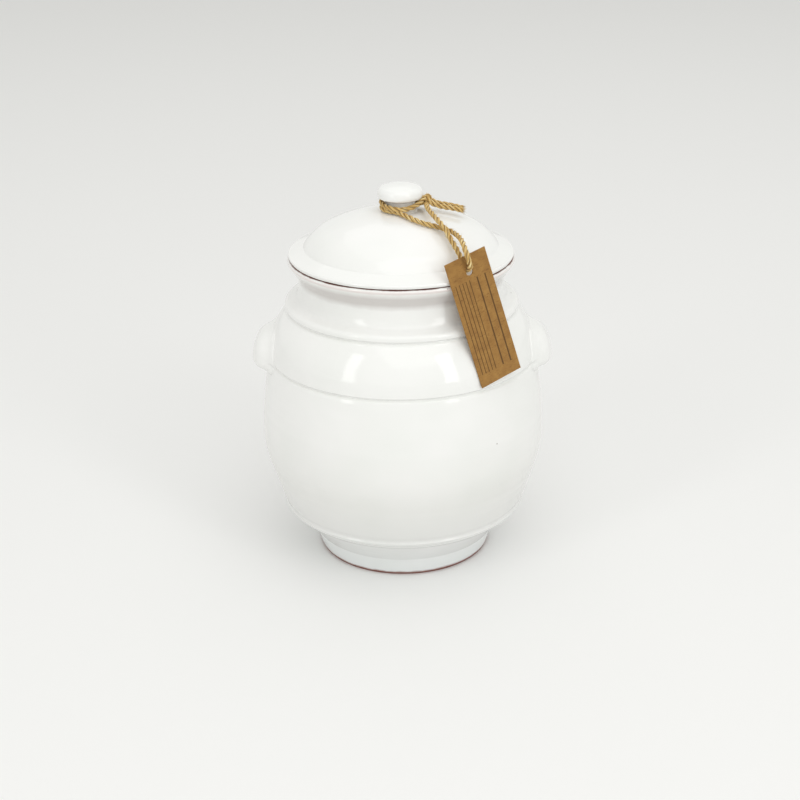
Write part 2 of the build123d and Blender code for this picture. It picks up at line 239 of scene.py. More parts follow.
def tin_glaze(name, lines):
    """The glaze. Each line on it is a height, half its own height, its least radius, colour and roughness."""
    settings = bpy.context.scene.canister_jar
    made, tree = new_material(name)
    place = add_node(tree, "ShaderNodeTexCoord").outputs["Object"]
    axes = add_node(tree, "ShaderNodeSeparateXYZ", {"Vector": place}).outputs
    flat = add_node(tree, "ShaderNodeCombineXYZ", {"X": axes["X"], "Y": axes["Y"]})
    radius = add_node(tree, "ShaderNodeVectorMath", {0: flat}, operation="LENGTH")
    cloud = add_node(tree, "ShaderNodeTexNoise", {"Vector": place, "Scale": 1 / GLAZE_CLOUD, "Detail": 2.0})
    tints = ((0.3, "F2F3F0"), (0.65, settings.glaze))
    tint = add_node(tree, "ShaderNodeValToRGB", {"Fac": cloud}, stops=tints)
    # Painted shade by height, multiplied into the glaze's own tint
    climb = add_node(tree, "ShaderNodeMapRange", {"Value": axes["Z"], "From Max": GLAZE_RUN})
    height_shades = [(height / GLAZE_RUN, shade) for height, shade in GLAZE_HEIGHT_SHADES]
    depth = add_node(tree, "ShaderNodeValToRGB", {"Fac": climb}, stops=height_shades)
    shaded_tint = add_node(
        tree,
        "ShaderNodeMix",
        {"Factor": 1.0, "A": tint, "B": depth},
        data_type="RGBA",
        blend_type="MULTIPLY",
    )
    cells = add_node(tree, "ShaderNodeTexVoronoi", {"Vector": place, "Scale": 1 / PINHOLE_SPACING})
    core, edge = PINHOLE_CORE / PINHOLE_SPACING, PINHOLE_EDGE / PINHOLE_SPACING
    spot = add_node(
        tree,
        "ShaderNodeMapRange",
        {"Value": cells, "From Min": core, "From Max": edge, "To Min": 0.8, "To Max": 0.0},
    )
    chosen = add_node(
        tree, "ShaderNodeMath", {0: cells.outputs["Color"], 1: NO_PINHOLE_SHARE}, operation="GREATER_THAN"
    )
    pinhole = add_node(tree, "ShaderNodeMath", {0: spot, 1: chosen}, operation="MULTIPLY")
    colour = add_node(
        tree, "ShaderNodeMix", {"Factor": pinhole, "A": shaded_tint, "B": srgb("6E5446")}, data_type="RGBA"
    )
    rough = GLOSS
    wander = add_node(tree, "ShaderNodeTexNoise", {"Vector": place, "Scale": 1 / LINE_WANDER, "Detail": 3.0})
    for height, half, least, shade, matt in lines:
        off = add_node(tree, "ShaderNodeMath", {0: axes["Z"], 1: height}, operation="SUBTRACT")
        away = add_node(tree, "ShaderNodeMath", {0: off}, operation="ABSOLUTE")
        least_half = max(half * LINE_LEAST_SHARE, half - LINE_RAGGED)
        reach = add_node(
            tree,
            "ShaderNodeMapRange",
            {"Value": wander, "From Min": 0.3, "From Max": 0.7, "To Min": least_half, "To Max": half},
        )
        fade = add_node(
            tree, "ShaderNodeMapRange", {"Value": away, "From Min": reach, "From Max": 0.0, "To Max": 1.6}
        )
        outer = add_node(tree, "ShaderNodeMath", {0: radius, 1: least}, operation="GREATER_THAN")
        bare = add_node(tree, "ShaderNodeMath", {0: fade, 1: outer}, operation="MULTIPLY", use_clamp=True)
        colour = add_node(
            tree, "ShaderNodeMix", {"Factor": bare, "A": colour, "B": srgb(shade)}, data_type="RGBA"
        )
        rough = add_node(tree, "ShaderNodeMix", {"Factor": bare, "A": rough, "B": matt})
    stretch = (1 / RING_LONG, 1 / RING_LONG, 1 / RING_HIGH)
    stretched = add_node(tree, "ShaderNodeMapping", {"Vector": place, "Scale": stretch})
    rings = add_node(tree, "ShaderNodeTexNoise", {"Vector": stretched, "Scale": 1.0, "Detail": 2.0})
    ringed = add_node(tree, "ShaderNodeBump", {"Height": rings, "Strength": 0.4, "Distance": RING_BUMP})
    peel = add_node(tree, "ShaderNodeTexNoise", {"Vector": place, "Scale": 1 / PEEL, "Detail": 1.0})
    peeled = add_node(
        tree, "ShaderNodeBump", {"Height": peel, "Strength": 0.4, "Distance": PEEL_BUMP, "Normal": ringed}
    )
    add_surface(tree, {"Base Color": colour, "Roughness": rough, "IOR": 1.52, "Normal": peeled})
    return made


# Jute twine: coarse golden bast fibres, dull, with painted shade in the valleys between the plies. The
# streaks are drawn wider than single fibres, which are too fine to show.
STREAKS_ROUND = 7.0
STREAK_LONG, STREAK_BUMP = 5 * MM, 0.4 * MM
# Where the painted shade in the valleys starts and where it is darkest, as shares of a turn from a ply's
# crest
VALLEY_START_SHARE, VALLEY_FLOOR_SHARE = 0.15, 0.29


def jute_twine(name):
    """Fibre streaks run along each ply, on the twine's own UV map: 0.5 is a ply's outermost line."""
    settings = bpy.context.scene.canister_twine
    made, tree = new_material(name)
    along = add_node(tree, "ShaderNodeUVMap", uv_map="ply")
    stretch = (STREAKS_ROUND, 1 / STREAK_LONG, 1.0)
    slim = add_node(tree, "ShaderNodeMapping", {"Vector": along, "Scale": stretch})
    streak = add_node(tree, "ShaderNodeTexNoise", {"Vector": slim, "Scale": 1.0, "Detail": 4.0})
    straws = ((0.3, "AA8242"), (0.5, settings.colour), (0.68, "F5E6B2"))
    straw = add_node(tree, "ShaderNodeValToRGB", {"Fac": streak}, stops=straws)
    across = add_node(tree, "ShaderNodeSeparateXYZ", {"Vector": along}).outputs["X"]
    round_ply = add_node(tree, "ShaderNodeMath", {0: across, 1: 1.0}, operation="FLOORED_MODULO")
    from_crest = add_node(tree, "ShaderNodeMath", {0: round_ply, 1: 0.5}, operation="SUBTRACT")
    aside = add_node(tree, "ShaderNodeMath", {0: from_crest}, operation="ABSOLUTE")
    # Painted shade, darker towards the valleys where each ply meets the next
    valley_shade = add_node(
        tree,
        "ShaderNodeMapRange",
        {"Value": aside, "From Min": VALLEY_START_SHARE, "From Max": VALLEY_FLOOR_SHARE, "To Max": 0.7},
    )
    shaded = add_node(
        tree, "ShaderNodeMix", {"Factor": valley_shade, "A": straw, "B": srgb("754C1C")}, data_type="RGBA"
    )
    raised = add_node(tree, "ShaderNodeBump", {"Height": streak, "Strength": 0.8, "Distance": STREAK_BUMP})
    add_surface(tree, {"Base Color": shaded, "Roughness": 0.75, "Sheen Weight": 0.12, "Normal": raised})
    return made


# Kraft card: unbleached pulp board, matt brown with darker and paler fibre flecks and plain ruled lines.
PULP_CLOUD = 6 * MM
FLECK_ACROSS, FLECK_ALONG, FLECK_BUMP = 3.5 * MM, 0.6 * MM, 0.1 * MM
# Ruled lines: the middle of a set, how many, their distance and half their width, all across the card, and
# where they start and end along it from the hole
RULES = ((-7.0 * MM, 5, 2.6 * MM, 0.22 * MM), (7.0 * MM, 2, 6.0 * MM, 0.45 * MM))
RULE_TOP, RULE_FOOT = -5.0 * MM, -61.0 * MM
RULE_EDGE = 0.1 * MM


def kraft_card(name):
    """The card's board, with ruled lines along its length on its own UV map, in metres."""
    settings = bpy.context.scene.canister_tag
    made, tree = new_material(name)
    sheet = add_node(tree, "ShaderNodeUVMap", uv_map="card")
    cloud = add_node(tree, "ShaderNodeTexNoise", {"Vector": sheet, "Scale": 1 / PULP_CLOUD, "Detail": 5.0})
    browns = ((0.3, "946C3A"), (0.7, settings.kraft))
    pulp = add_node(tree, "ShaderNodeValToRGB", {"Fac": cloud}, stops=browns)
    stretch = (1 / FLECK_ACROSS, 1 / FLECK_ALONG, 1.0)
    slim = add_node(tree, "ShaderNodeMapping", {"Vector": sheet, "Scale": stretch})
    fleck = add_node(
        tree, "ShaderNodeTexNoise", {"Vector": slim, "Scale": 1.0, "Detail": 2.0, "Distortion": 1.5}
    )
    dark = add_node(
        tree, "ShaderNodeMapRange", {"Value": fleck, "From Min": 0.56, "From Max": 0.72, "To Max": 0.7}
    )
    colour = add_node(
        tree, "ShaderNodeMix", {"Factor": dark, "A": pulp, "B": srgb("6B4828")}, data_type="RGBA"
    )
    spot = add_node(tree, "ShaderNodeSeparateXYZ", {"Vector": sheet}).outputs
    middle_run, half_run = (RULE_TOP + RULE_FOOT) / 2, (RULE_TOP - RULE_FOOT) / 2
    run = add_node(tree, "ShaderNodeMath", {0: spot["Y"], 1: middle_run, 2: half_run}, operation="COMPARE")
    for middle, count, pitch, half in RULES:
        off = add_node(tree, "ShaderNodeMath", {0: spot["X"], 1: middle}, operation="SUBTRACT")
        shift = add_node(tree, "ShaderNodeMath", {0: off, 1: (count - 1) * pitch / 2}, operation="ADD")
        fold = add_node(tree, "ShaderNodeMath", {0: shift, 1: pitch / 2}, operation="PINGPONG")
        stroke = add_node(
            tree,
            "ShaderNodeMapRange",
            {"Value": fold, "From Min": half + RULE_EDGE, "From Max": half, "To Max": 0.8},
        )
        half_set = count * pitch / 2
        aside = add_node(tree, "ShaderNodeMath", {0: off, 1: 0.0, 2: half_set}, operation="COMPARE")
        here = add_node(tree, "ShaderNodeMath", {0: aside, 1: run}, operation="MULTIPLY")
        inked = add_node(tree, "ShaderNodeMath", {0: stroke, 1: here}, operation="MULTIPLY")
        colour = add_node(
            tree, "ShaderNodeMix", {"Factor": inked, "A": colour, "B": srgb(settings.ink)}, data_type="RGBA"
        )
    raised = add_node(tree, "ShaderNodeBump", {"Height": fleck, "Strength": 0.3, "Distance": FLECK_BUMP})
    add_surface(
        tree, {"Base Color": colour, "Roughness": 0.85, "Specular IOR Level": 0.3, "Normal": raised}
    )
    return made


# How close points and corners may come before they are merged or eased
SAME_POINT = 0.001 * MM
SAME_VERTEX = 0.002 * MM
SHORTEST_STEP = 0.01 * MM
EASE, EASE_ANGLE = 0.15 * MM, math.radians(14)
QUARTER_BULGE_SHARE = 1 - math.sqrt(0.5)


def arc(start, end, bulge, steps):
    """Points of a circular arc from start to end, both of them radius and height. It bulges to the right."""
    a, b = Vector(start), Vector(end)
    chord = b - a
    if not bulge:
        return [a.lerp(b, i / steps) for i in range(steps + 1)]
    radius = chord.length**2 / (8 * bulge) + bulge / 2
    side = Vector((chord.y, -chord.x)).normalized()
    centre = (a + b) / 2 + side * (bulge - radius)
    half = 2 * math.atan2(2 * bulge, chord.length)
    aim = side * radius
    return [centre + Matrix.Rotation(2 * half * i / steps - half, 2) @ aim for i in range(steps + 1)]


def joined(*runs):
    """One profile from several runs of points, with the shared ends once."""
    points = []
    for run in runs:
        for point in run:
            point = Vector(point)
            if not points or (point - points[-1]).length > SAME_POINT:
                points.append(point)
    return points


def chain(start, *stations):
    """Lines and arcs from station to station. Each is a place, then the bulge and steps of the way there."""
    runs = []
    for place, bulge, steps in stations:
        runs.append(arc(start, place, bulge, steps))
        start = place
    return joined(*runs)


def eased(profile):
    """Puts a holding point on each side of a corner, so that the smooth shading stays close to it."""
    points = [profile[0]]
    for before, corner, after in zip(profile, profile[1:], profile[2:]):
        come, leave = corner - before, after - corner
        if come.angle(leave) > EASE_ANGLE:
            points += [
                corner - come.normalized() * min(EASE, come.length / 3),
                corner,
                corner + leave.normalized() * min(EASE, leave.length / 3),
            ]
        else:
            points.append(corner)
    return [*points, profile[-1]]


def in_metres(points):
    """Points given in millimetres."""
    return [tuple(MM * x for x in point) for point in points]


def smooth_line(points, steps):
    """Points along a smooth spline that has the given ones as its control points."""
    curve = bpy.data.curves.new("smooth_line", "CURVE")
    curve.dimensions = "3D"
    curve.resolution_u = steps
    spline = curve.splines.new("NURBS")
    spline.points.add(len(points) - 1)
    for spot, point in zip(spline.points, points):
        spot.co = (*point, 1.0)
    spline.order_u = 3
    spline.use_endpoint_u = True
    holder = bpy.data.objects.new("smooth_line", curve)
    bpy.context.collection.objects.link(holder)
    mesh = bpy.data.meshes.new_from_object(holder)
    line = []
    for vertex in mesh.vertices:
        if not line or (vertex.co - line[-1]).length > SHORTEST_STEP:
            line.append(vertex.co.copy())
    bpy.data.objects.remove(holder)
    bpy.data.curves.remove(curve)
    bpy.data.meshes.remove(mesh)
    return line


def turned_piece(name, profile, segments, turn=math.tau):
    """Draws a profile by extruding one point along it, then spins it round the turning axis."""
    profile = eased(profile)
    bpy.ops.object.select_all(action="DESELECT")
    bpy.ops.mesh.primitive_plane_add(size=MM)
    piece = bpy.context.object
    piece.name = name
    bpy.ops.object.mode_set(mode="EDIT")
    bpy.ops.mesh.select_all(action="SELECT")
    bpy.ops.mesh.merge(type="CENTER")
    bpy.ops.transform.translate(value=(profile[0].x, 0, profile[0].y))
    for a, b in zip(profile, profile[1:]):
        bpy.ops.mesh.extrude_vertices_move(TRANSFORM_OT_translate={"value": (b.x - a.x, 0, b.y - a.y)})
    bpy.ops.mesh.select_all(action="SELECT")
    bpy.ops.mesh.spin(steps=segments, angle=-turn, center=(0, 0, 0), axis=(0, 0, 1))
    bpy.ops.mesh.select_all(action="SELECT")
    bpy.ops.mesh.remove_doubles(threshold=SAME_VERTEX)
    bpy.ops.mesh.normals_make_consistent(inside=False)
    bpy.ops.object.mode_set(mode="OBJECT")
    bpy.ops.object.shade_smooth()
    return piece


# Thrown clay: finger rings that sway and fade along the wall, each over so many rings, and a wobble that
# turns with the height
RING_SWAY, SWAY_RINGS, FADE_RINGS = 1.3, 2.7, 5.3
WOBBLE_TURN = 30 * MM
NEAR_AXIS = 5 * MM


def handmade(piece, depth, pitch, wobble, seed):
    """Finger rings and a slight wobble, always inwards so that the piece keeps its fits."""
    draw = random.Random(seed)
    phases = [draw.uniform(0, math.tau) for _ in range(6)]
    for vertex in piece.data.vertices:
        x, y, z = vertex.co
        radius = math.hypot(x, y)
        if radius < NEAR_AXIS:
            continue
        angle = math.atan2(y, x)
        climb = z + pitch * angle / math.tau
        sway = RING_SWAY * math.sin(math.tau * z / (SWAY_RINGS * pitch) + phases[0])
        ring = math.sin(math.tau * climb / pitch + sway)
        fade = math.sin(math.tau * z / (FADE_RINGS * pitch) + phases[1] + math.sin(angle + phases[2]))
        oval = math.cos(2 * angle + phases[3]) + 0.5 * math.cos(3 * angle + phases[4] + z / WOBBLE_TURN)
        inwards = depth * (1 + fade) / 2 * (1 + ring) / 2 + wobble * (1.5 + oval) / 3
        share = 1 - inwards / radius
        vertex.co.x *= share
        vertex.co.y *= share


# Profile of the jar: the solid's sizes, with the ridge, the roll, the neck and the lip softened by the glaze
FOOT = 54.9 * MM
FOOT_RING, FOOT_RECESS = 7.5 * MM, 4.0 * MM
FOOT_EDGE, FOOT_EDGE_BULGE = 0.8 * MM, 0.25 * MM
FOOT_FLARE, FOOT_FLARE_Z = 4.0 * MM, 12.65 * MM
UNDERCUT_SPREAD, UNDERCUT_Z = 13.14 * MM, 24.71 * MM
FLOOR_RADIUS, FLOOR_Z = 46.0 * MM, 9.5 * MM
RIDGE_Z = 33.5 * MM
# Stations under the ridge: inwards and down from it, and the bulge and steps of the way there
RIDGE_UNDER = (
    (6.36 * MM, 5.88 * MM, 0, 1),
    (3.79 * MM, 3.55 * MM, 0.3 * MM, 5),
    (1.0 * MM, 1.5 * MM, 0, 1),
)
RIDGE_BULGE = 0.4 * MM
# The bead on the ridge: where its points start and how far they are apart, then its swelling and the hollow
# above, each with its middle over the ridge, its size and half its height
BEAD_START, BEAD_STEP, BEAD_POINTS = -0.5 * MM, 0.35 * MM, 28
BEAD_SWELLS = ((0.3 * MM, 0.8 * MM, 0.9 * MM), (2.7 * MM, -0.35 * MM, 1.5 * MM))
BELLY_Z = 81.0 * MM
TAPER = math.radians(17.4)
LOWER_ROUND = 54.0 * MM
SHOULDER, SHOULDER_Z = 84.3 * MM, 132.2 * MM
BAND_BULGE = 2.6 * MM
COLLAR, COLLAR_Z = 73.1 * MM, 163.4 * MM
CREASE, CREASE_HALF = 1.7 * MM, 1.6 * MM
NECK, NECK_Z = 64.4 * MM, 180.0 * MM
# The rim's top dips towards the bead that rounds the mouth
MOUTH_ROUND, MOUTH_BULGE = 2.0 * MM, 0.58 * MM
RIM_DIP = 1.5 * MM
LIP, LIP_Z = 70.4 * MM, RIM - 1.7 * MM
# Control points of the roll over the upper crease and the cove up to the lip, in millimetres: radius and
# height, then for the lip itself outwards from its radius and up from the rim
COVE = (
    (73.1, 165.1),
    (73.1, 166.3),
    (72.6, 167.5),
    (71.3, 168.5),
    (69.4, 169.2),
    (67.5, 169.9),
    (66.0, 171.0),
    (65.0, 172.8),
    (64.4, 175.3),
    (64.05, 178.5),
    (63.9, 181.4),
    (64.2, 183.8),
    (65.3, 186.0),
    (66.8, 188.2),
    (68.2, 190.4),
    (69.5, 192.6),
)
LIP_CURVE = ((0.2, -1.6), (-0.4, -0.5), (-2.0, 0.0), (-3.9, 0.0))
COVE_STEPS = 4
# Lines on the jar's glaze: bare clay at the foot, drawn wide and dark so that it also paints the contact
# shadow, bare clay at the rim, painted shade in a band under the lip and a flush on the lip
FOOT_CLAY_AND_SHADOW = (0.1 * MM, 2.9 * MM, FOOT - 8 * MM)
# Painted shade in a grey band on the neck under the lip
SHADE_UNDER_LIP = (LIP_Z - 7.3 * MM, 6.5 * MM, NECK - 2 * MM)
LIP_LINE = (LIP_Z - 0.2 * MM, 1.8 * MM, LIP - 2 * MM)
RIM_LINE = (RIM, 0.7 * MM, LIP - 12 * MM)
FOOT_MATT, RIM_MATT = 0.6, 0.5
JAR_SEED = 3


def crease(radius, height):
    """A turned crease with soft lips."""
    shares = [i / 6 - 1 for i in range(13)]
    return [
        Vector((radius - CREASE * (1 + math.cos(math.pi * share)) / 2, height + CREASE_HALF * share))
        for share in shares
    ]


def bead(ridge):
    """The wall at the ridge, with its bead."""
    points = []
    for i in range(BEAD_POINTS):
        above = BEAD_START + BEAD_STEP * i
        swells = [size * math.exp(-(((above - middle) / half) ** 2)) for middle, size, half in BEAD_SWELLS]
        points.append((ridge + above * math.tan(TAPER) + sum(swells), RIDGE_Z + above))
    return points


def jar_profile(wall):
    """Outside from the foot's centre to the rim, then the inside back to the floor's centre."""
    taper = Vector((BELLY - LOWER_ROUND * (1 - math.cos(TAPER)), BELLY_Z - LOWER_ROUND * math.sin(TAPER)))
    ridge = taper.x - (taper.y - RIDGE_Z) * math.tan(TAPER)
    inner = Vector((-math.cos(TAPER), math.sin(TAPER))) * wall
    lower_bulge = LOWER_ROUND * (1 - math.cos(TAPER / 2))
    upper_chord = Vector((SHOULDER - BELLY, SHOULDER_Z - CREASE_HALF - BELLY_Z))
    upper_bulge = abs(upper_chord.x) * upper_chord.length / (4 * upper_chord.y)
    mouth = NECK - wall
    ridge_bead = bead(ridge)
    lip = [(LIP + out, RIM + up) for out, up in in_metres(LIP_CURVE)]
    roll = smooth_line([(r, z, 0.0) for r, z in (*in_metres(COVE), *lip)], COVE_STEPS)
    outside = joined(
        [(0, FOOT_RECESS), (FOOT - FOOT_RING - FOOT_RECESS, FOOT_RECESS), (FOOT - FOOT_RING, 0)],
        chain(
            (FOOT - FOOT_EDGE, 0),
            ((FOOT, FOOT_EDGE), FOOT_EDGE_BULGE, 5),
            ((FOOT + FOOT_FLARE, FOOT_FLARE_Z), 0, 1),
            ((FOOT + UNDERCUT_SPREAD, UNDERCUT_Z), 0, 1),
            *[((ridge - x, RIDGE_Z - down), bulge, steps) for x, down, bulge, steps in RIDGE_UNDER],
            (ridge_bead[0], RIDGE_BULGE, 4),
        ),
        ridge_bead,
        chain(
            ridge_bead[-1],
            (taper, 0, 12),
            ((BELLY, BELLY_Z), lower_bulge, 8),
            ((SHOULDER, SHOULDER_Z - CREASE_HALF), upper_bulge, 24),
        ),
        crease(SHOULDER, SHOULDER_Z),
        arc((SHOULDER, SHOULDER_Z + CREASE_HALF), (COLLAR, COLLAR_Z - CREASE_HALF), BAND_BULGE, 16),
        crease(COLLAR, COLLAR_Z),
        [point.to_2d() for point in roll],
    )
    inside = joined(
        [(mouth + MOUTH_ROUND, RIM - RIM_DIP)],
        arc((mouth + MOUTH_ROUND, RIM), (mouth, RIM - MOUTH_ROUND), MOUTH_BULGE, 6),
        [(mouth, NECK_Z)],
        chain(
            (COLLAR - wall, COLLAR_Z),
            ((SHOULDER - wall, SHOULDER_Z), -BAND_BULGE, 8),
            ((BELLY - wall, BELLY_Z), -upper_bulge, 10),
            (taper + inner, -lower_bulge, 5),
            (Vector((ridge, RIDGE_Z)) + inner, 0, 5),
        ),
        [(FLOOR_RADIUS, FLOOR_Z), (0, FLOOR_Z)],
    )
    return joined(outside, inside)


class CANISTER_OT_jar(bpy.types.Operator):
    """Turns the jar from its profile and glazes it"""

    bl_idname = "canister.jar"
    bl_label = "Jar"

    def execute(self, context):
        settings = context.scene.canister_jar
        piece = turned_piece("glazed_jar", jar_profile(settings.wall), settings.segments)
        handmade(piece, settings.ring_depth, settings.ring_pitch, settings.wobble, JAR_SEED)
        glaze = tin_glaze(
            "tin_glaze_jar",
            [
                # Bare clay at the foot that also paints its contact shadow
                (*FOOT_CLAY_AND_SHADOW, settings.clay, FOOT_MATT),
                # Painted shade under the lip
                (*SHADE_UNDER_LIP, "D6D2CF", GLOSS),
                (*LIP_LINE, "EFE7E4", GLOSS),
                (*RIM_LINE, settings.clay, RIM_MATT),
            ],
        )
        finish_piece(piece, "jar", "glaze", glaze, "jar_body")
        return {"FINISHED"}


# Lug handles: where they start, their size and roundings, how square they are seen from above, where the
# wall hides their back, and the clay that is smeared out where they meet the wall
LUG_BASE, LUG_RISE = 126.3 * MM, 22.3 * MM
LUG_WIDE = 25.0 * MM
LUG_ROUND, LUG_TOP_ROUND = 4.6 * MM, 11.5 * MM
LUG_FOOT_SLOPE = 0.8 * MM
LUG_SQUARE = 2.8
LUG_BACK = 75.0 * MM
LUG_MARGIN = 8.0 * MM
LUG_SEGMENTS = 48
SMEAR, SMEAR_WIDE, SMEAR_HIGH = 4.0 * MM, 2.6 * MM, 3.0 * MM
SMEAR_BLEND = 12.0 * MM


def wall_radii(profile, low, high):
    """A function that gives the radius of the jar's outside at a height between two heights."""
    outside = [(a, b) for a, b in zip(profile, profile[1:]) if b.y > a.y and b.y > low and a.y < high]

    def radius(height):
        height = min(max(height, low), high)
        runs = [(a, b) for a, b in outside if a.y <= height <= b.y]
        return max(a.x + (b.x - a.x) * (height - a.y) / (b.y - a.y) for a, b in runs)

    return radius


class CANISTER_OT_lugs(bpy.types.Operator):
    """Turns one lug as half a round, widens it, and copies it to the other side"""

    bl_idname = "canister.lugs"
    bl_label = "Lug handles"

    def execute(self, context):
        axis = COLLAR
        reach = LUG_HIGH.x - axis
        low, high = LUG_BASE, LUG_BASE + LUG_RISE
        side, side_rise = low + LUG_ROUND, LUG_RISE - LUG_ROUND
        profile = joined(
            chain(
                (0, low),
                ((reach - LUG_ROUND, low), 0, 10),
                ((reach, side), LUG_ROUND * QUARTER_BULGE_SHARE, 8),
            ),
            [
                (reach - LUG_TOP_ROUND * (1 - math.cos(a)), side + side_rise * math.sin(a))
                for a in [math.pi / 2 * i / 18 for i in range(19)]
            ],
            arc((reach - LUG_TOP_ROUND, high), (0, high), 0, 6),
        )
        right = turned_piece("glazed_lug_right", profile, LUG_SEGMENTS, math.pi)
        bpy.ops.object.mode_set(mode="EDIT")
        bpy.ops.mesh.select_all(action="SELECT")
        bpy.ops.transform.rotate(value=math.pi / 2, orient_axis="Z", center_override=(0, 0, 0))
        bpy.ops.transform.resize(value=(1, LUG_WIDE / reach, 1), center_override=(0, 0, 0))
        bpy.ops.transform.translate(value=(axis, 0, 0))
        bpy.ops.mesh.bisect(plane_co=(LUG_BACK, 0, 0), plane_no=(1, 0, 0), clear_inner=True)
        bpy.ops.mesh.select_all(action="SELECT")
        bpy.ops.mesh.subdivide(number_cuts=1)
        bpy.ops.object.mode_set(mode="OBJECT")
        if min(v.co.x for v in right.data.vertices) < LUG_BACK - MM:
            raise RuntimeError("the lug was spun to the inside of the wall")
        wall = wall_radii(jar_profile(context.scene.canister_jar.wall), low - LUG_MARGIN, high + LUG_MARGIN)
        for vertex in right.data.vertices:
            x, y, z = vertex.co
            ahead, aside = (x - axis) / reach, y / LUG_WIDE
            squared = (abs(ahead) ** LUG_SQUARE + abs(aside) ** LUG_SQUARE) ** (1 / LUG_SQUARE)
            fuller = math.hypot(ahead, aside) / squared
            x, y = axis + (x - axis) * fuller, y * fuller
            out, rise = (x - axis) / reach, (z - low) / LUG_RISE
            z = low + LUG_FOOT_SLOPE * out + rise * (LUG_RISE - LUG_FOOT_SLOPE * out)
            off = math.hypot(x, y) - wall(z)
            smear = max(0.0, 1 - max(off, 0.0) / SMEAR) ** 2
            widened = math.copysign(SMEAR_WIDE * smear, y) * min(1.0, abs(y) / SMEAR_BLEND)
            vertex.co = (x, y + widened, z + (rise - 0.5) * SMEAR_HIGH * smear)
        left = right.copy()
        left.data = right.data.copy()
        left.name = "glazed_lug_left"
        context.collection.objects.link(left)
        left.data.transform(Matrix.Rotation(math.pi, 4, "Z"))
        glaze = tin_glaze("tin_glaze_lug", [])
        finish_piece(right, "jar", "glaze", glaze, "right_lug_handle")
        finish_piece(left, "jar", "glaze", glaze, "left_lug_handle")
        return {"FINISHED"}


# Profile of the lid: the dome's two arcs, the brim with its raised edge, and the skirt
DOME, DOME_Z = 60.3 * MM, RIM + 6.4 * MM
DOME_ROUND = 32.5 * MM
DOME_FOOT, DOME_CROWN = math.radians(57.0), math.radians(25.5)
DOME_CENTRE = Vector((DOME - DOME_ROUND * math.sin(DOME_FOOT), DOME_Z - DOME_ROUND * math.cos(DOME_FOOT)))
CROWN_START = DOME_CENTRE + DOME_ROUND * Vector((math.sin(DOME_CROWN), math.cos(DOME_CROWN)))
CROWN_ROUND = CROWN_START.x / math.sin(DOME_CROWN)
CROWN_CENTRE = CROWN_START.y - CROWN_ROUND * math.cos(DOME_CROWN)
CROWN_TOP = CROWN_CENTRE + CROWN_ROUND
BRIM_TOP = RIM + 2.6 * MM
BRIM_EDGE, BRIM_EDGE_RISE = 1.3 * MM, 0.4 * MM
BRIM_DROP, BRIM_BULGE = 0.9 * MM, 0.45 * MM
BRIM_CHAMFER, BRIM_BEVEL = 0.5 * MM, 2.3 * MM
SKIRT, SKIRT_WALL = 57.7 * MM, 3.6 * MM
SKIRT_ROUND, SKIRT_BULGE = 1.2 * MM, 0.35 * MM
SKIRT_WAIST, SKIRT_WAIST_Z = 1.05 * MM, LID_LOW.z + 0.86 * MM
SEAT_LINE = (RIM, 0.9 * MM, SKIRT)
LID_UNEVEN_SHARE = 0.5
LID_SEED = 8


def dome(inset, steps):
    """The dome's outline from its top to the brim, set in by a wall."""
    crown = [
        Vector((0, CROWN_CENTRE)) + (CROWN_ROUND - inset) * Vector((math.sin(a), math.cos(a)))
        for a in [DOME_CROWN * i / steps for i in range(steps + 1)]
    ]
    shoulder = [
        DOME_CENTRE + (DOME_ROUND - inset) * Vector((math.sin(a), math.cos(a)))
        for a in [DOME_CROWN + (DOME_FOOT - DOME_CROWN) * i / steps for i in range(steps + 1)]
    ]
    return joined(crown, shoulder)


class CANISTER_OT_lid(bpy.types.Operator):
    """Turns the lid from its profile and glazes it"""

    bl_idname = "canister.lid"
    bl_label = "Lid"

    def execute(self, context):
        settings = context.scene.canister_jar
        base = LID_LOW.z
        profile = joined(
            dome(0, 22),
            chain(
                (DOME, DOME_Z),
                ((BRIM - BRIM_EDGE, BRIM_TOP + BRIM_EDGE_RISE), 0, 1),
                ((BRIM, BRIM_TOP - BRIM_DROP), -BRIM_BULGE, 8),
                ((BRIM - BRIM_CHAMFER, RIM + BRIM_CHAMFER), 0, 2),
            ),
            [(BRIM - BRIM_BEVEL, RIM), (SKIRT, RIM), (SKIRT - SKIRT_WAIST, SKIRT_WAIST_Z)],
            arc((SKIRT, base + SKIRT_ROUND), (SKIRT - SKIRT_ROUND, base), -SKIRT_BULGE, 4),
            [(SKIRT - SKIRT_WALL, base), (SKIRT - SKIRT_WALL, RIM)],
            reversed(dome(settings.lid_wall, 14)),
        )
        piece = turned_piece("glazed_lid", profile, settings.segments)
        depth, wobble = settings.ring_depth * LID_UNEVEN_SHARE, settings.wobble * LID_UNEVEN_SHARE
        handmade(piece, depth, settings.ring_pitch, wobble, LID_SEED)
        glaze = tin_glaze("tin_glaze_lid", [(*SEAT_LINE, settings.clay, RIM_MATT)])
        finish_piece(piece, "lid", "glaze", glaze, "lid")
        return {"FINISHED"}


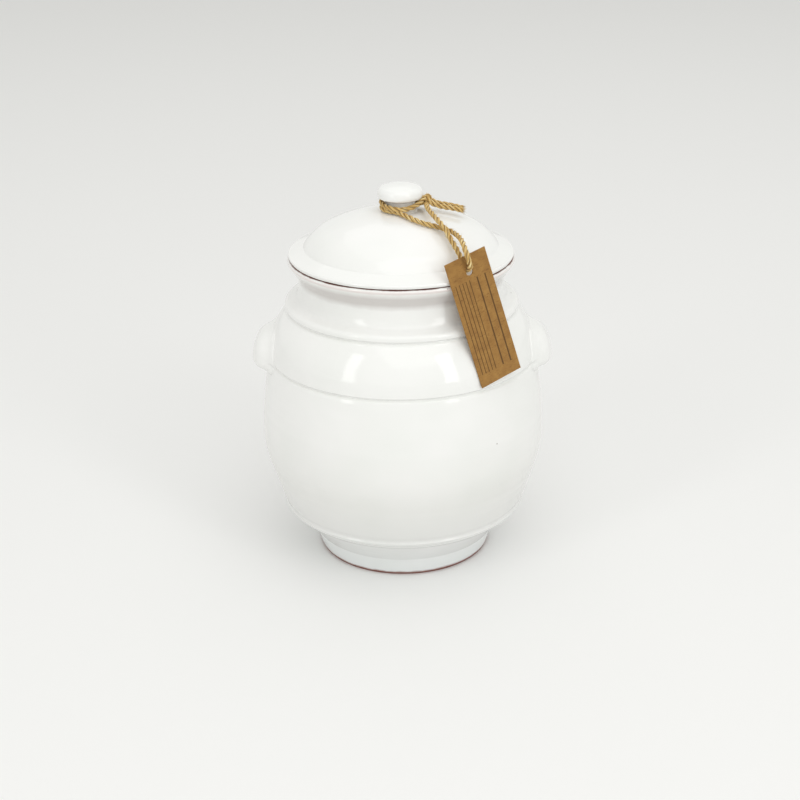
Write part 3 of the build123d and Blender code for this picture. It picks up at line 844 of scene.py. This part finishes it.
# Profile of the knob: its neck with the clay smeared round its root, then the button
KNOB_NECK, KNOB_ROOT_Z = 9.2 * MM, CROWN_TOP - 1.2 * MM
KNOB_SMEAR, KNOB_SMEAR_Z = 1.9 * MM, CROWN_TOP + 1.4 * MM
KNOB_NECK_TOP, KNOB_NECK_TURN = CROWN_TOP + 6.6 * MM, 0.8 * MM
KNOB_UNDER_INSET, KNOB_UNDER_Z = 1.4 * MM, KNOB_NECK_TOP + 0.5 * MM
KNOB_SIDE_Z, KNOB_SIDE_BULGE = KNOB_NECK_TOP + 3.8 * MM, 0.6 * MM
KNOB_TOP, KNOB_TOP_Z, KNOB_TOP_BULGE = 10.4 * MM, KNOB_NECK_TOP + 7.9 * MM, 1.0 * MM
KNOB_CROWN_BULGE = 0.6 * MM
# Painted shadow: a brown line round the underside of the button, where it overhangs its neck
KNOB_UNDER_SHADOW = (KNOB_UNDER_Z, 0.7 * MM, KNOB_HIGH.x - 2.5 * MM)


class CANISTER_OT_knob(bpy.types.Operator):
    """Turns the knob and glazes it"""

    bl_idname = "canister.knob"
    bl_label = "Knob"

    def execute(self, context):
        settings = context.scene.canister_jar
        button = KNOB_HIGH.x
        profile = joined(
            [(0, KNOB_ROOT_Z)],
            chain(
                (KNOB_NECK + KNOB_SMEAR, KNOB_ROOT_Z),
                ((KNOB_NECK, KNOB_SMEAR_Z), 0, 1),
                ((KNOB_NECK, KNOB_NECK_TOP - KNOB_NECK_TURN), 0, 5),
                ((button - KNOB_UNDER_INSET, KNOB_UNDER_Z), 0, 3),
                ((button, KNOB_SIDE_Z), KNOB_SIDE_BULGE, 8),
                ((KNOB_TOP, KNOB_TOP_Z), KNOB_TOP_BULGE, 10),
                ((0, KNOB_HIGH.z), KNOB_CROWN_BULGE, 10),
            ),
        )
        piece = turned_piece("glazed_knob", profile, settings.segments // 2)
        # The brown line under the button is painted shadow
        glaze = tin_glaze("tin_glaze_knob", [(*KNOB_UNDER_SHADOW, "8C6A5E", GLOSS)])
        finish_piece(piece, "lid", "glaze", glaze, "lid_knob")
        return {"FINISHED"}


# Route of the twine, in millimetres, from one cut end through the knot, round the knob's neck, down to the
# card's hole and back: the solids' route, drawn closer at the hole and with the knot's own turns
WINDING = 11.15
LOW_TURN, HIGH_TURN, HIGH_TURN_DIP = 225.66, 229.41, 2.3


def turn_points(first, last, count, height, dip=0.0):
    """Corner points of a turn round the knob's neck, between two azimuths in degrees, with a dip in front."""
    step = (last - first) / (count - 1)
    reach = WINDING / math.cos(math.radians(step / 2))
    angles = [math.radians(first + step * i) for i in range(count)]
    dips = [dip * max(0.0, math.cos(a)) ** 2 for a in angles]
    return [((reach + d) * math.sin(a), -(reach + d) * math.cos(a), height - d) for a, d in zip(angles, dips)]


FRONT_END = [
    (38.1, 1.8, 222.2),
    (33.4, 0.6, 223.7),
    (28.4, -0.5, 225.0),
    (22.8, -1.4, 226.3),
    (18.6, -1.7, 228.3),
]
FRONT_KNOT = [(16.2, -1.8, 231.2), (14.8, 0.2, 231.6), (15.5, 2.4, 229.4)]
FRONT_LEG = [
    (14.7, 4.4, 227.0),
    *turn_points(128, 352, 6, LOW_TURN),
    (3.4, -18.4, 225.0),
    (8.8, -23.0, 223.6),
    (14.6, -25.8, 222.3),
    (20.6, -26.8, 221.0),
    (26.2, -28.4, 219.8),
    (31.0, -33.4, 219.4),
    (34.2, -41.6, 219.0),
    (35.8, -50.0, 218.2),
    (36.8, -56.4, 216.8),
    (37.8, -59.8, 214.2),
    (38.8, -61.0, 211.2),
    (39.6, -61.0, 208.6),
    (39.8, -59.8, 206.0),
    (39.2, -57.3, 203.8),
]
BACK_LEG = [
    (37.5, -54.8, 202.9),
    (36.0, -52.7, 204.3),
    (35.4, -51.6, 207.9),
    (33.4, -48.5, 211.6),
    (30.9, -44.7, 215.1),
    (28.6, -40.7, 218.3),
    (27.0, -36.4, 221.2),
    (24.4, -32.0, 223.4),
    (21.6, -26.4, 225.2),
    (18.8, -19.2, 226.8),
    (16.6, -12.0, 227.8),
    (15.6, -3.4, 228.0),
]
BACK_KNOT = [(16.9, -0.2, 228.2), (17.8, 0.7, 230.2), (17.1, 0.8, 232.2)]
COLLAR_TURN = [
    (14.8, -0.6, 231.5),
    *turn_points(52, -232, 7, HIGH_TURN, HIGH_TURN_DIP),
    (15.6, 3.0, 230.9),
]
BACK_END = [
    (18.6, 1.9, 229.0),
    (22.8, 2.2, 227.1),
    (28.4, 3.1, 225.7),
    (33.4, 4.2, 224.4),
    (38.2, 5.4, 222.9),
]
ROUTE = [*FRONT_END, *FRONT_KNOT, *FRONT_LEG, *BACK_LEG, *BACK_KNOT, *COLLAR_TURN, *BACK_END]
ROUTE_STEPS = 14
# Plies: their radius as a share of the twine, and how the lay drifts and the thickness varies along them
PLY_SHARE, PLY_SIDES = 0.255, 12
LAY_DRIFT, LAY_DRIFT_RUN = 0.5, 9.0 * MM
UNEVEN_SHARE, UNEVEN_LONG, UNEVEN_SHORT = 0.07, 4.1 * MM, 1.7 * MM
# Loose fibres and frayed ends, drawn thicker than real ones so that they show
HAIR_RADII, HAIR_SIDES = (0.06 * MM, 0.05 * MM, 0.04 * MM, 0.015 * MM), 3
HAIR_SPAN, FIRST_HAIR = 0.2, 8.0
FIBRE_ROOT_SHARE, FIBRE_REACH, FIBRE_LEAN = 0.44, (0.3 * MM, 1.7 * MM), 2.4
FIBRE_SHARES = (0.0, 0.35, 0.7, 1.0)
FRAY_ROOT_SHARE, FRAY_REACH, FRAY_SPREAD = 0.45, (0.5 * MM, 2.0 * MM), 0.9
FRAY_SHARES = (-0.6, 0.0, 0.5, 1.0)
TWINE_SEED = 21


def frames_along(line):
    """A point, and two directions square to the line that turn as little as they can, at each point."""
    tangents = [(b - a).normalized() for a, b in zip(line, line[1:])]
    tangents.append(tangents[-1])
    side = tangents[0].orthogonal().normalized()
    frames = []
    for point, tangent in zip(line, tangents):
        side = (side - tangent * side.dot(tangent)).normalized()
        frames.append((point, side, tangent.cross(side)))
    return frames


def add_tube(mesh_lists, frames, radii, sides, ply, span=1.0):
    """Adds a round tube along frames, closed at its ends, with a UV coordinate round it and along it."""
    vertices, faces, coordinates = mesh_lists
    first = len(vertices)
    run = 0.0
    runs = [0.0]
    for (a, _, _), (b, _, _) in zip(frames, frames[1:]):
        run += (b - a).length
        runs.append(run)
    for (point, side, up), radius in zip(frames, radii):
        for k in range(sides):
            a = math.tau * (k / sides - 0.5)
            vertices.append(point + radius * (math.cos(a) * side + math.sin(a) * up))
    crest = ply + 0.5
    for i in range(len(frames) - 1):
        for k in range(sides):
            a, b = first + i * sides + k, first + i * sides + (k + 1) % sides
            faces.append((a, b, b + sides, a + sides))
            low, high = (crest + span * (step / sides - 0.5) for step in (k, k + 1))
            coordinates.append([(low, runs[i]), (high, runs[i]), (high, runs[i + 1]), (low, runs[i + 1])])
    last = first + (len(frames) - 1) * sides
    faces.append(tuple(reversed(range(first, first + sides))))
    coordinates.append([(crest, 0.0)] * sides)
    faces.append(tuple(range(last, last + sides)))
    coordinates.append([(crest, run)] * sides)


def mesh_piece(name, mesh_lists, uv_name):
    """An object from tubes, with its UV map."""
    vertices, faces, coordinates = mesh_lists
    mesh = bpy.data.meshes.new(name)
    mesh.from_pydata(vertices, [], faces)
    layer = mesh.uv_layers.new(name=uv_name)
    flat = [pair for face in coordinates for pair in face]
    for loop, pair in zip(layer.data, flat):
        loop.uv = pair
    mesh.validate()
    mesh.shade_smooth()
    piece = bpy.data.objects.new(name, mesh)
    bpy.context.collection.objects.link(piece)
    return piece


class CANISTER_OT_twine(bpy.types.Operator):
    """Twists the plies of the jute twine along its route, with loose fibres and frayed ends"""

    bl_idname = "canister.twine"
    bl_label = "Twine"

    def execute(self, context):
        settings = context.scene.canister_twine
        draw = random.Random(TWINE_SEED)
        line = smooth_line(in_metres(ROUTE), ROUTE_STEPS)
        lengths = [(b - a).length for a, b in zip(line, line[1:])]
        frames = frames_along(line)
        ply_radius = settings.diameter * PLY_SHARE
        off_centre = settings.diameter / 2 - ply_radius
        mesh_lists = ([], [], [])
        for ply in range(settings.plies):
            run, path, radii = 0.0, [], []
            start = math.tau * ply / settings.plies
            for (point, side, up), step in zip(frames, [0.0, *lengths]):
                run += step
                turn = start + math.tau * run / settings.lay + LAY_DRIFT * math.sin(run / LAY_DRIFT_RUN)
                out = math.cos(turn) * side + math.sin(turn) * up
                path.append((point + off_centre * out, out, side.cross(up).cross(out)))
                uneven = math.sin(run / UNEVEN_LONG + 2 * ply) + math.sin(run / UNEVEN_SHORT + ply)
                radii.append(ply_radius * (1 + UNEVEN_SHARE * uneven))
            add_tube(mesh_lists, path, radii, PLY_SIDES, 2.0 * ply)
        for number in range(settings.fibres):
            point, side, up = frames[draw.randrange(2, len(frames) - 2)]
            angle = draw.uniform(0, math.tau)
            out = math.cos(angle) * side + math.sin(angle) * up
            lean = side.cross(up) * (FIBRE_LEAN * draw.uniform(-1.0, 1.0))
            reach = draw.uniform(*FIBRE_REACH)
            root = settings.diameter * FIBRE_ROOT_SHARE
            hair = [
                point + out * (root + reach * share) + lean * (reach * share * share)
                for share in FIBRE_SHARES
            ]
            add_tube(mesh_lists, frames_along(hair), HAIR_RADII, HAIR_SIDES, FIRST_HAIR + number, HAIR_SPAN)
        for end, inner in ((line[0], line[1]), (line[-1], line[-2])):
            tangent = (end - inner).normalized()
            side = tangent.orthogonal().normalized()
            up = tangent.cross(side)
            for number in range(settings.frays):
                angle = draw.uniform(0, math.tau)
                root = settings.diameter * FRAY_ROOT_SHARE * math.sqrt(draw.random())
                out = math.cos(angle) * side + math.sin(angle) * up
                reach, spread = draw.uniform(*FRAY_REACH), draw.uniform(0.0, FRAY_SPREAD)
                hair = [
                    end + out * (root + spread * reach * share * share) + tangent * (reach * share)
                    for share in FRAY_SHARES
                ]
                add_tube(
                    mesh_lists, frames_along(hair), HAIR_RADII, HAIR_SIDES, FIRST_HAIR + number, HAIR_SPAN
                )
        piece = mesh_piece("jute_twine", mesh_lists, "ply")
        finish_piece(
            piece,
            "tie",
            "twine",
            jute_twine("jute_three_ply"),
            "twine_collar",
            "twine_knot",
            "twine_front_leg",
            "twine_back_leg",
            "twine_front_end",
            "twine_back_end",
        )
        return {"FINISHED"}


# Card: its grid, and the punch that cuts its hole
CARD_COLUMNS, CARD_ROWS = 16, 40
PUNCH_SIDES, PUNCH_DEPTHS = 48, 10


class CANISTER_OT_tag(bpy.types.Operator):
    """Cuts the kraft card, punches its hole and hangs it on its plane"""

    bl_idname = "canister.tag"
    bl_label = "Card tag"

    def execute(self, context):
        settings = context.scene.canister_tag
        bpy.ops.object.select_all(action="DESELECT")
        bpy.ops.mesh.primitive_grid_add(x_subdivisions=CARD_COLUMNS, y_subdivisions=CARD_ROWS, size=1)
        piece = bpy.context.object
        piece.name = "kraft_tag"
        bpy.ops.object.mode_set(mode="EDIT")
        bpy.ops.mesh.select_all(action="SELECT")
        bpy.ops.transform.resize(value=(settings.width, settings.length, 1), center_override=(0, 0, 0))
        bpy.ops.transform.translate(
            value=(0, settings.hole_margin - settings.length / 2, -settings.thickness / 2)
        )
        bpy.ops.mesh.extrude_region_move(TRANSFORM_OT_translate={"value": (0, 0, settings.thickness)})
        bpy.ops.mesh.select_all(action="SELECT")
        bpy.ops.mesh.normals_make_consistent(inside=False)
        bpy.ops.object.mode_set(mode="OBJECT")
        bpy.ops.object.select_all(action="DESELECT")
        bpy.ops.mesh.primitive_cylinder_add(
            vertices=PUNCH_SIDES, radius=settings.hole / 2, depth=PUNCH_DEPTHS * settings.thickness
        )
        punch = bpy.context.object
        bpy.context.view_layer.objects.active = piece
        cut = piece.modifiers.new("punch", "BOOLEAN")
        cut.object = punch
        cut.operation = "DIFFERENCE"
        bpy.ops.object.modifier_apply(modifier=cut.name)
        bpy.data.objects.remove(punch)
        layer = piece.data.uv_layers.get("UVMap") or piece.data.uv_layers.new()
        layer.name = "card"
        for loop in piece.data.loops:
            spot = piece.data.vertices[loop.vertex_index].co
            layer.data[loop.index].uv = (spot.x, spot.y)
        up = Vector((0, 0, 1))
        up = (up - TAG_NORMAL * up.dot(TAG_NORMAL)).normalized()
        right = up.cross(TAG_NORMAL)
        across = right * math.cos(settings.turn) + up * math.sin(settings.turn)
        along = TAG_NORMAL.cross(across)
        place = Matrix((across, along, TAG_NORMAL)).transposed().to_4x4()
        place.translation = TAG_HOLE
        piece.data.transform(place)
        piece.data.shade_flat()
        finish_piece(piece, "tag", "card", kraft_card("kraft_board"), "swing_tag")
        return {"FINISHED"}


# Stage: the floor's side, the world's light on the object and as it is seen, and the lamps with their azimuth
# from the front in degrees, distance, height, size and power
FLOOR_SIDE = 6.0
SKY, SKY_LIGHT, SKY_SEEN = "FDFDFA", 0.67, 0.9
LAMP_AIM = Vector((0, 0, 0.13))
LAMPS = (
    ("right_window", 40, 1.6, 0.75, (0.36, 1.3), 3.8),
    ("left_window", -45, 1.6, 0.75, (0.32, 1.3), 3.2),
    ("front_ceiling", 18, 1.2, 2.0, (2.2, 2.2), 12.0),
    ("back_ceiling", 170, 0.7, 2.1, (2.4, 2.4), 6.5),
)


def seen_share(tree):
    """1 where the camera sees a surface, itself or in a reflection, and 0 for the light that it throws."""
    path = add_node(tree, "ShaderNodeLightPath").outputs
    rays = {0: path["Is Camera Ray"], 1: path["Is Glossy Ray"]}
    return add_node(tree, "ShaderNodeMath", rays, operation="MAXIMUM")


# White paper floor: matt, a little greyer in the light that it throws back than to the eye.
def paper_floor(name):
    """The floor's paper."""
    settings = bpy.context.scene.canister_stage
    made, tree = new_material(name)
    paper = add_node(
        tree,
        "ShaderNodeMix",
        {"Factor": seen_share(tree), "A": srgb(settings.bounce), "B": srgb(settings.floor)},
        data_type="RGBA",
    )
    add_surface(tree, {"Base Color": paper, "Roughness": 0.7})
    return made


class CANISTER_OT_stage(bpy.types.Operator):
    """Sets the camera, the pale floor and the soft lights"""

    bl_idname = "canister.stage"
    bl_label = "Stage"

    def execute(self, context):
        settings = context.scene.canister_stage
        scene = context.scene
        scene.view_settings.view_transform = "Standard"
        eye = bpy.data.objects.new("camera", bpy.data.cameras.new("camera"))
        eye.data.lens = settings.lens
        eye.location = settings.camera
        turn = Matrix.Rotation(math.pi / 2 - settings.pitch, 4, "X") @ Matrix.Rotation(settings.roll, 4, "Z")
        eye.rotation_euler = turn.to_euler()
        context.collection.objects.link(eye)
        scene.camera = eye
        bpy.ops.object.select_all(action="DESELECT")
        bpy.ops.mesh.primitive_plane_add(size=1)
        floor = bpy.context.object
        floor.name = "floor"
        bpy.ops.object.mode_set(mode="EDIT")
        bpy.ops.mesh.select_all(action="SELECT")
        bpy.ops.transform.resize(value=(FLOOR_SIDE, FLOOR_SIDE, 1), center_override=(0, 0, 0))
        bpy.ops.object.mode_set(mode="OBJECT")
        floor.data.materials.append(paper_floor("pale_paper_floor"))
        world = bpy.data.worlds.new("studio")
        world.use_nodes = True
        tree = world.node_tree
        tree.nodes.clear()
        strength = add_node(
            tree, "ShaderNodeMapRange", {"Value": seen_share(tree), "To Min": SKY_LIGHT, "To Max": SKY_SEEN}
        )
        light = add_node(tree, "ShaderNodeBackground", {"Color": srgb(SKY), "Strength": strength})
        add_node(tree, "ShaderNodeOutputWorld", {"Surface": light})
        scene.world = world
        for name, azimuth, distance, height, size, power in LAMPS:
            lamp = bpy.data.lights.new(name, "AREA")
            lamp.shape = "RECTANGLE"
            lamp.size, lamp.size_y = size
            lamp.energy = power
            holder = bpy.data.objects.new(name, lamp)
            angle = math.radians(azimuth)
            holder.location = (distance * math.sin(angle), -distance * math.cos(angle), height)
            holder.rotation_euler = (LAMP_AIM - holder.location).to_track_quat("-Z", "Y").to_euler()
            context.collection.objects.link(holder)
        return {"FINISHED"}


OPERATORS = (
    CANISTER_OT_stage,
    CANISTER_OT_twine,
    CANISTER_OT_jar,
    CANISTER_OT_lugs,
    CANISTER_OT_lid,
    CANISTER_OT_knob,
    CANISTER_OT_tag,
)
SETTINGS = {
    "canister_jar": JarSettings,
    "canister_twine": TwineSettings,
    "canister_tag": TagSettings,
    "canister_stage": StageSettings,
}


class CANISTER_PT_panel(bpy.types.Panel):
    """Lists the canister's pieces"""

    bl_label = "Canister"
    bl_idname = "CANISTER_PT_panel"
    bl_space_type = "VIEW_3D"
    bl_region_type = "UI"
    bl_category = "Canister"

    def draw(self, context):
        for operator in OPERATORS:
            self.layout.operator(operator.bl_idname)


def register():
    for name, group in SETTINGS.items():
        bpy.utils.register_class(group)
        setattr(bpy.types.Scene, name, bpy.props.PointerProperty(type=group))
    for operator in OPERATORS:
        bpy.utils.register_class(operator)
    bpy.utils.register_class(CANISTER_PT_panel)


def unregister():
    bpy.utils.unregister_class(CANISTER_PT_panel)
    for operator in reversed(OPERATORS):
        bpy.utils.unregister_class(operator)
    for name, group in SETTINGS.items():
        delattr(bpy.types.Scene, name)
        bpy.utils.unregister_class(group)


def main():
    register()
    bpy.ops.canister.stage()
    bpy.ops.canister.twine()
    bpy.ops.canister.jar()
    bpy.ops.canister.lugs()
    bpy.ops.canister.lid()
    bpy.ops.canister.knob()
    bpy.ops.canister.tag()


if __name__ == "__main__":
    main()
